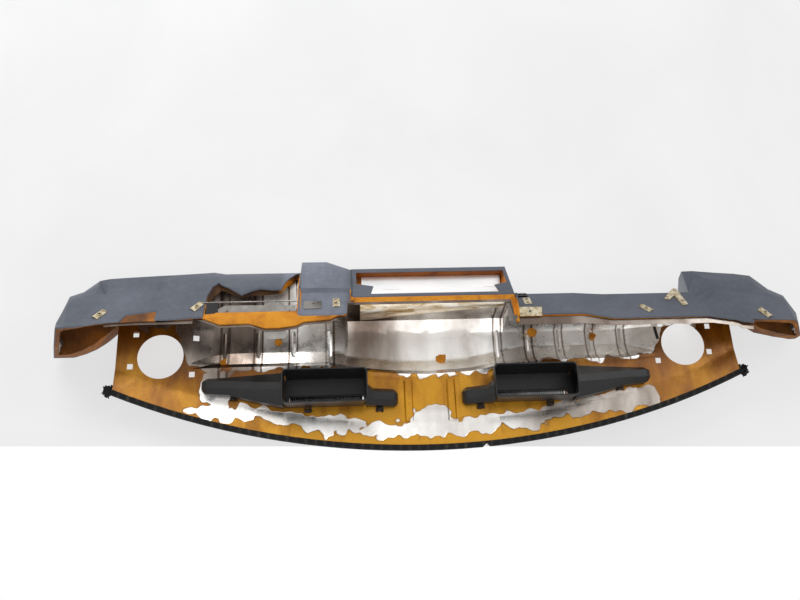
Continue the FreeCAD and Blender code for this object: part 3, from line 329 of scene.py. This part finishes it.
def rolled_steel():
    """Cold-rolled steel strip: mid grey, with light rust and grime."""
    material, tree, shader, place = start_material("rolled_steel")
    grime = add(tree, "ShaderNodeTexNoise", {"Vector": place},
                {"Scale": per_metre(60), "Detail": 6.0, "Roughness": 0.6}).outputs["Fac"]
    colour = add(tree, "ShaderNodeValToRGB", {"Fac": grime},
                 stops=[(0.3, "#5C564F"), (0.5, "#85817C"), (0.7, "#A9A6A2")])
    tree.links.new(colour.outputs["Color"], shader.inputs["Base Color"])
    shader.inputs["Metallic"].default_value = 0.85
    shader.inputs["Roughness"].default_value = 0.36
    return material


def bright_tinplate():
    """Tinned sheet on the floor of the centre opening: clean and nearly white, faintly streaked."""
    material, tree, shader, place = start_material("bright_tinplate")
    drawn = add(tree, "ShaderNodeMapping", {"Vector": place}, {"Scale": (0.15, 1.0, 1.0)}).outputs["Vector"]
    streaks = add(tree, "ShaderNodeTexNoise", {"Vector": drawn},
                  {"Scale": per_metre(16), "Detail": 4.0, "Roughness": 0.5}).outputs["Fac"]
    colour = add(tree, "ShaderNodeValToRGB", {"Fac": streaks}, stops=[(0.3, "#F0F4F6"), (0.6, "#FFFFFF")])
    tree.links.new(colour.outputs["Color"], shader.inputs["Base Color"])
    shader.inputs["Metallic"].default_value = 0.85
    shader.inputs["Roughness"].default_value = 0.3
    return material


VINYL = embossed_vinyl()
FOAM = aged_foam()
CARRIER = pressed_aluminium()
ROLL = stained_roll()
RUBBER = extruded_rubber()
DUCT = moulded_polypropylene()
CLUMP = rubber_clump()
ZINC = passivated_zinc()
STEEL = rolled_steel()
TIN = bright_tinplate()


# Pieces that stand for a CAD node: the same shape, with smooth curves, rounded edges and their finish

def merged(node):
    """A joined-up copy of a CAD node's mesh."""
    bm = bmesh.new()
    bm.from_mesh(NODES[node].data)
    bmesh.ops.remove_doubles(bm, verts=bm.verts, dist=0.00002)
    return bm


def sliced(bm, at_mm, normal, **options):
    """Cuts a mesh along a plane square to an axis."""
    normal = Vector(normal)
    return bmesh.ops.bisect_plane(bm, geom=bm.verts[:] + bm.edges[:] + bm.faces[:], dist=1e-6,
                                  plane_co=Vector(tuple(abs(n) * at_mm * MM for n in normal)),
                                  plane_no=normal, **options)["geom_cut"]


def shade(bm, crease_deg):
    """Smooth over curves, sharp where faces meet at more than the given angle."""
    for face in bm.faces:
        face.smooth = True
    for edge in bm.edges:
        edge.smooth = len(edge.link_faces) == 2 and edge.calc_face_angle(0.0) < math.radians(crease_deg)


def finished(bm, name, material, rounding=0.0, least_deg=32):
    mesh = bpy.data.meshes.new(name)
    bm.to_mesh(mesh)
    bm.free()
    mesh.materials.append(material)
    piece = bpy.data.objects.new(name, mesh)
    bpy.context.scene.collection.objects.link(piece)
    if rounding:
        bevel = piece.modifiers.new("rounded_edges", "BEVEL")
        bevel.width = rounding * MM
        bevel.segments = 2
        bevel.limit_method = "ANGLE"
        bevel.angle_limit = math.radians(least_deg)
    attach(piece, "root")
    return piece


def dressed(node, name, material, crease_deg=35, rounding=0.0, least_deg=32):
    bm = merged(node)
    shade(bm, crease_deg)
    piece = finished(bm, name, material, rounding, least_deg)
    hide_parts(node)


def roughen(bm, longest, size, depth):
    """Breaks a shape into small facets and pushes them about as torn foam or old compound is."""
    for _ in range(6):
        long_edges = [edge for edge in bm.edges if edge.calc_length() > longest * MM]
        if not long_edges:
            break
        bmesh.ops.subdivide_edges(bm, edges=long_edges, cuts=1, use_grid_fill=True)
        bmesh.ops.triangulate(bm, faces=bm.faces)
    for vert in bm.verts:
        place = vert.co / (size * MM)
        vert.co += Vector(noise.noise_vector(place)) * depth * MM


def crumbled(node, name, material, longest, size, depth):
    bm = merged(node)
    roughen(bm, longest, size, depth)
    shade(bm, 60)
    piece = finished(bm, name, material)
    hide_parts(node)


# Where the film lies on the carrier, how bright its bare metal is painted for its reflections and shade, and
# how dark the film has aged

FILM_BACK = [(-640, -400), (-584, -400), (-576, -168), (-500, -168), (-488, -118), (-476, -97), (-441, -75),
             (-414, -69), (-405, -96), (-392, -94), (-383, -74), (-300, -78), (-121, -77), (-91, -73),
             (-67, -60), (-20, -57), (28, -56), (80, -56), (98, -66), (124, -60), (229, -83), (250, -89),
             (352, -76), (374, -88), (410, -81), (464, -93), (481, -119), (493, -146), (510, -151),
             (572, -151), (582, -400), (640, -400)]
BARE_FRONT = [(-484, 5), (-408, 8), (-341, 26), (-274, 30), (-207, 14), (-160, 28), (-111, 21), (0, 21),
              (65, 23), (120, 20), (140, 32), (193, 14), (255, 27), (327, 24), (424, 8), (461, 3)]
BARE_BACK = [(-484, 6), (-448, 32), (-400, 34), (-362, 52), (-303, 48), (-241, 52), (-168, 57), (-129, 48),
             (-54, 50), (62, 56), (138, 59), (203, 55), (301, 61), (385, 55), (453, 46), (466, 4)]
RIB_PLACES = (-407, -340, -270, -196, 148, 212, 276, 341, 407)
RIB_FOOT = 8
RIB_LINE = 3
# Painted light: how bright the bare metal is painted along the car, in the bays and at the front band,
# standing in for the reflections it shows
BAY_PAINTED_LIGHT = [(-620, 0.5), (-470, 0.55), (-412, 0.3), (-345, 0.35), (-330, 0.7), (-275, 0.8), (-262, 1.1),
             (-200, 1.2), (-188, 0.9), (-150, 0.5), (-95, 0.45), (-50, 0.8), (20, 0.8), (80, 0.7),
             (140, 0.9), (155, 1.0), (210, 0.95), (340, 0.95), (420, 1.05), (500, 1.0), (640, 0.6)]
FRONT_PAINTED_LIGHT = [(-620, 0.6), (-480, 0.95), (-300, 0.85), (-150, 0.8), (0, 0.95), (150, 0.85), (250, 0.55),
               (360, 0.45), (420, 0.55), (480, 0.4)]
FILM_AGE = [(0, 0.72), (50, 0.66), (90, 0.52), (140, 0.4), (190, 0.3), (260, 0.2)]
FLANGE_TOP = -84
FILM_LIMIT = 60.0
# First, last and step of the cuts that give the carrier's mesh enough points to hold those patterns
GRID_ACROSS = (-612, 634, 12)
GRID_FORWARD = (-180, 84, 10)


def along(outline, x):
    return float(np.interp(x, [p[0] for p in outline], [p[1] for p in outline]))


def behind_edge(x, y):
    """Distance behind the windscreen edge."""
    return ARC_RADIUS - math.hypot(x, y - ARC_CENTRE)


def film_level(x, y, z):
    """How far inside the amber film a point lies; negative on bare metal."""
    behind = behind_edge(x, y)
    band = min(behind - along(BARE_FRONT, x), along(BARE_BACK, x) - behind, x + 480, 462 - x)
    between_bars = min(y - 6, 36 - abs(x), behind - 23)
    halo = 12 - math.hypot(max(-442 - x, 0, x + 400), max(-62 - y, 0, y + 24))
    level = min(y - along(FILM_BACK, x), -band, -between_bars, -halo)
    if z < FLANGE_TOP:
        level = -FILM_LIMIT
    return max(min(level, FILM_LIMIT), -FILM_LIMIT)


def painted_metal_light(x, y, z):
    """Painted reflections and shade on the bare metal, with brown stains: 0 where it is painted dull and
    brown, 1 where it is painted bright.
    """
    # The flange below the fascia is painted dull: painted shade
    if z < FLANGE_TOP:
        return 0.3
    if behind_edge(x, y) < 75:
        return along(FRONT_PAINTED_LIGHT, x)
    rear = min(max((-95 - y) / 70, 0), 1)
    # The lower wall is painted darker: painted shade
    wall = 0.15 if z < -20 else 0.0
    # Dark lines beside each rib foot, where the sheet is creased: painted shade
    beside_rib = min(abs(abs(x - rib) - RIB_FOOT) for rib in RIB_PLACES)
    fold = 0.75 if beside_rib < 1 and y < -62 else 0.0
    return along(BAY_PAINTED_LIGHT, x) - 0.12 * rear - wall - fold


def film_age(x, y):
    aged = along(FILM_AGE, behind_edge(x, y))
    return aged + 0.5 * max(1 - abs(x) / 470, 0)


def coat_carrier():
    bm = merged("carrier_pan")
    for at in range(*GRID_ACROSS):
        sliced(bm, at, (1, 0, 0))
    for at in range(*GRID_FORWARD):
        sliced(bm, at, (0, 1, 0))
    for rib in RIB_PLACES:
        for foot in (-RIB_FOOT, RIB_FOOT):
            for step in (-RIB_LINE, 0, RIB_LINE):
                sliced(bm, rib + foot + step, (1, 0, 0))
    shade(bm, 30)
    film = bm.verts.layers.float.new("film")
    painted_light_and_stain = bm.verts.layers.float.new("painted_light_and_stain")
    age = bm.verts.layers.float.new("age")
    for vert in bm.verts:
        x, y, z = vert.co / MM
        vert[film] = film_level(x, y, z)
        # The bare metal's painted reflections and shade, with its stains
        vert[painted_light_and_stain] = painted_metal_light(x, y, z)
        vert[age] = film_age(x, y)
    piece = finished(bm, "carrier_sheet", CARRIER)
    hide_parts("carrier_pan")


# The seal: the gripping strip without its plain ends, then a clump and loose threads at each end

SEAL_ENDS = (-619, 639)
SEAL_THREADS = 7


def edge_y(x):
    return ARC_CENTRE + math.sqrt(ARC_RADIUS ** 2 - x ** 2)


def frayed_seal():
    bm = merged("windscreen_seal")
    for sign, end in ((-1, SEAL_ENDS[0]), (1, SEAL_ENDS[1])):
        cut = sliced(bm, end, (sign, 0, 0), clear_outer=True)
        open_edges = [item for item in cut if isinstance(item, bmesh.types.BMEdge)]
        bmesh.ops.holes_fill(bm, edges=open_edges)
        centre = Vector((end + 6 * sign, edge_y(end) - 1, -7)) * MM
        clump = bmesh.ops.create_icosphere(bm, subdivisions=3, radius=8.5 * MM)["verts"]
        for vert in clump:
            vert.co = Vector((vert.co.x * 0.9, vert.co.y * 1.35, vert.co.z * 0.7))
            vert.co += Vector(noise.noise_vector(vert.co / (5 * MM) + Vector((sign, 0, 0)))) * 4.5 * MM
            vert.co += centre
        for k in range(SEAL_THREADS):
            turn = math.radians(-80 + 30 * k)
            thread = 6 + 3 * math.sin(2.4 * k)
            cone = bmesh.ops.create_cone(bm, segments=5, radius1=2.6 * MM, radius2=0.9 * MM,
                                         depth=thread * MM, cap_ends=True)["verts"]
            lean = Matrix.Rotation(math.pi / 2, 4, "Y") @ Matrix.Translation((0, 0, thread / 2 * MM + 5 * MM))
            spread = Matrix.Rotation(turn if sign > 0 else math.pi - turn, 4, "Z")
            dip = Matrix.Rotation(0.35 * math.sin(1.7 * k), 4, "Y")
            bmesh.ops.transform(bm, matrix=Matrix.Translation(centre) @ spread @ dip @ lean, verts=cone)
    shade(bm, 40)
    piece = finished(bm, "edge_seal", RUBBER)
    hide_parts("windscreen_seal")


# The demister slot: a frame with close slanted ribs

def slot_grid(side):
    node = "duct_vanes_" + side
    low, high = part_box(node)
    bm = bmesh.new()
    rib_pitch = 4.0 * MM
    rail = 1.8 * MM
    rib = 1.5 * MM
    rib_lean = 25
    count = int((high[0] - low[0]) / rib_pitch)
    middle = [(a + b) / 2 for a, b in zip(low, high)]
    span = [b - a for a, b in zip(low, high)]
    blocks = [((span[0], rail, span[2]), (middle[0], low[1] + rail / 2, middle[2]), 0),
              ((span[0], rail, span[2]), (middle[0], high[1] - rail / 2, middle[2]), 0)]
    for k in range(1, count):
        centre = (low[0] + k * rib_pitch, middle[1], middle[2])
        blocks.append(((rib, span[1], span[2] * 0.8), centre, rib_lean))
    for (width, depth, height), centre, turn in blocks:
        block = bmesh.ops.create_cube(bm, size=1.0)["verts"]
        bmesh.ops.scale(bm, vec=(width, depth, height), verts=block)
        place = Matrix.Translation(centre) @ Matrix.Rotation(math.radians(turn), 4, "Y")
        bmesh.ops.transform(bm, matrix=place, verts=block)
    shade(bm, 30)
    piece = finished(bm, "slot_grid_" + side, DUCT)
    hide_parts(node)


coat_carrier()
frayed_seal()
dressed("dash_skin", "vinyl_skin", VINYL, 20, 1.2, 18)
dressed("foam_core", "foam_padding", FOAM, 30)
dressed("defroster_duct_left", "duct_left", DUCT, 25, 1.3, 20)
dressed("defroster_duct_right", "duct_right", DUCT, 25, 1.3, 20)
dressed("pan_edge_roll", "rear_wall_roll", ROLL, 40)
crumbled("foam_remnants", "foam_lumps", FOAM, 4, 9, 3)
crumbled("duct_clips", "clip_compound", CLUMP, 3, 6, 2.4)
slot_grid("left")
slot_grid("right")

FINISHES = {
    DUCT: ["cluster_block", "corner_trim", "pan_strip"],
    ZINC: ["spring_nut_left_outer", "spring_nut_left_inner", "spring_nut_hump", "spring_nut_right_inner",
           "spring_nut_right_outer", "angle_bracket", "two_hole_tab", "square_hole_plate"],
    STEEL: ["cluster_crossmember", "crossmember_end_plate", "cluster_rail", "end_bracket_left",
            "end_bracket_right", "hanging_strip", "hanging_wire", "ledge_tab"],
    TIN: ["centre_back_plate", "centre_plate_tabs"],
}
for finish, names in FINISHES.items():
    for name in names:
        NODES[name].data.materials.clear()
        NODES[name].data.materials.append(finish)


# Stage: a white sheet behind the pad, seen only from below, and a table top, seen only from above

def stage_material(name, shades, camera_white):
    """Matt white cloth or paint with faint broad painted shade for folds, clear from behind."""
    material, tree, shader, place = start_material(name)
    # Painted shade: faint broad darker patches stand for folds
    fold_shade = add(tree, "ShaderNodeTexNoise", {"Vector": place},
                {"Scale": per_metre(420), "Detail": 4.0, "Roughness": 0.5, "Distortion": 0.8}).outputs["Fac"]
    colour = add(tree, "ShaderNodeValToRGB", {"Fac": fold_shade}, stops=[(0.35, shades[0]), (0.65, shades[1])])
    tree.links.new(colour.outputs["Color"], shader.inputs["Base Color"])
    shader.inputs["Roughness"].default_value = 0.9
    shader.inputs["Specular IOR Level"].default_value = 0.1
    glow = add(tree, "ShaderNodeEmission", None, {"Color": (1, 1, 1, 1), "Strength": 1.0})
    lit = add(tree, "ShaderNodeMixShader", {1: shader.outputs["BSDF"], 2: glow.outputs["Emission"]},
              {"Fac": camera_white})
    clear = add(tree, "ShaderNodeBsdfTransparent")
    side = add(tree, "ShaderNodeNewGeometry").outputs["Backfacing"]
    both = add(tree, "ShaderNodeMixShader", {"Fac": side, 1: lit.outputs["Shader"], 2: clear.outputs["BSDF"]})
    tree.links.new(both.outputs["Shader"], tree.nodes["Material Output"].inputs["Surface"])
    return material


def stage_plane(name, corners, material):
    bm = bmesh.new()
    bm.faces.new([bm.verts.new(corner) for corner in corners])
    mesh = bpy.data.meshes.new(name)
    bm.to_mesh(mesh)
    bm.free()
    mesh.materials.append(material)
    plane = bpy.data.objects.new(name, mesh)
    bpy.context.scene.collection.objects.link(plane)
    plane.visible_shadow = False
    plane.visible_diffuse = False
    plane.visible_glossy = False
    plane.visible_transmission = False


sheet_cloth = stage_material("white_sheet", ("#E0E0E2", "#F0F0F1"), 0.66)
table_paint = stage_material("white_table_paint", ("#F0F0F0", "#F6F6F6"), 0.6)
SHEET_Z = 0.046
TABLE_Z = -0.102
stage_plane("sheet", [(-4, -4, SHEET_Z), (-4, -0.053, SHEET_Z), (4, 0.206, SHEET_Z), (4, -4, SHEET_Z)],
            sheet_cloth)
stage_plane("table", [(-4, -4, TABLE_Z), (4, -4, TABLE_Z), (4, 4, TABLE_Z), (-4, 4, TABLE_Z)], table_paint)


# Light and camera

def lamp(name, place, aim, width, height, watts):
    data = bpy.data.lights.new(name, "AREA")
    data.shape = "RECTANGLE"
    data.size = width
    data.size_y = height
    data.energy = watts
    light = bpy.data.objects.new(name, data)
    bpy.context.scene.collection.objects.link(light)
    light.location = place
    light.rotation_mode = "QUATERNION"
    light.rotation_quaternion = (Vector(aim) - Vector(place)).to_track_quat("-Z", "Y")


lamp("window", (-1.0, -2.0, -1.6), (0, -0.1, 0), 1.6, 1.2, 34)
lamp("fill", (1.8, -0.9, -1.9), (0, -0.1, 0), 1.4, 1.4, 10)
lamp("low_front", (0.0, 1.6, -2.0), (0, 0, 0), 2.0, 0.8, 7)
lamp("top", (0.4, -1.2, 2.2), (0, -0.1, 0), 2.0, 1.6, 24)
lamp("windscreen_side", (-0.8, 2.2, 1.2), (0, 0, 0), 1.8, 1.2, 16)

world = bpy.data.worlds.new("studio")
bpy.context.scene.world = world
world.use_nodes = True
sky = world.node_tree
backdrop = sky.nodes["Background"]
rays = add(sky, "ShaderNodeLightPath").outputs
seen = add(sky, "ShaderNodeMath", {0: rays["Is Camera Ray"], 1: rays["Is Glossy Ray"]}, operation="MAXIMUM")
seen = add(sky, "ShaderNodeMath", {0: seen.outputs["Value"], 1: rays["Is Transmission Ray"]},
           operation="MAXIMUM")
strength = add(sky, "ShaderNodeMapRange", {"Value": seen.outputs["Value"]}, {"To Min": 0.32, "To Max": 1.0})
sky.links.new(strength.outputs["Result"], backdrop.inputs["Strength"])
backdrop.inputs["Color"].default_value = (1, 1, 1, 1)

camera_data = bpy.data.cameras.new("camera")
camera_data.sensor_width = 36
camera_data.lens = 36
camera = bpy.data.objects.new("camera", camera_data)
bpy.context.scene.collection.objects.link(camera)
right = Vector((0.9977, 0.0414, -0.0536)).normalized()
back = Vector((-0.0645, 0.3413, -0.9377)).normalized()
up = back.cross(right).normalized()
right = up.cross(back)
turn = Matrix((right, up, back)).transposed().to_4x4()
camera.matrix_world = Matrix.Translation((-0.1569, 0.3446, -1.5482)) @ turn
camera_data.clip_start = 0.05
camera_data.clip_end = 30
bpy.context.scene.camera = camera
bpy.context.scene.view_settings.view_transform = "Standard"
